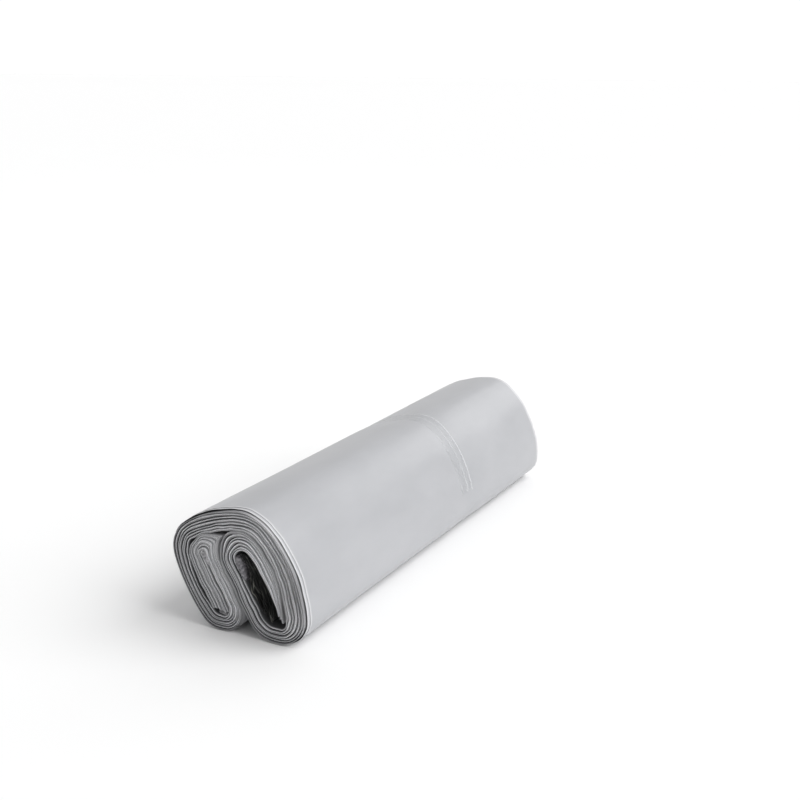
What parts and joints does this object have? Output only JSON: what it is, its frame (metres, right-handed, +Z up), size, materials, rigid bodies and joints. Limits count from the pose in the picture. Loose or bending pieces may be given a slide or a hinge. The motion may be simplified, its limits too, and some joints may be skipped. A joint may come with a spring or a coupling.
{
  "type": "poly mailer roll",
  "caption": "Taped roll of grey film mailing bags, folded from both sides into a double scroll, lying on its side.",
  "frame": {"origin": "on the ground, under the middle of the roll", "axes": "+Y along the roll, from the end with the open fold to view towards the far end; +Z up; +X towards the scroll that holds the hollow pocket"},
  "size_m": [0.1018, 0.38, 0.0854],
  "materials": {
    "grey_film": "soft gloss polyethylene film, light grey outside and black inside",
    "clear_tape": "clear glossy packing tape"
  },
  "bodies": {
    "root": {"rolled_mailers": "grey_film", "closing_tape": "clear_tape"}
  },
  "joints": []
}
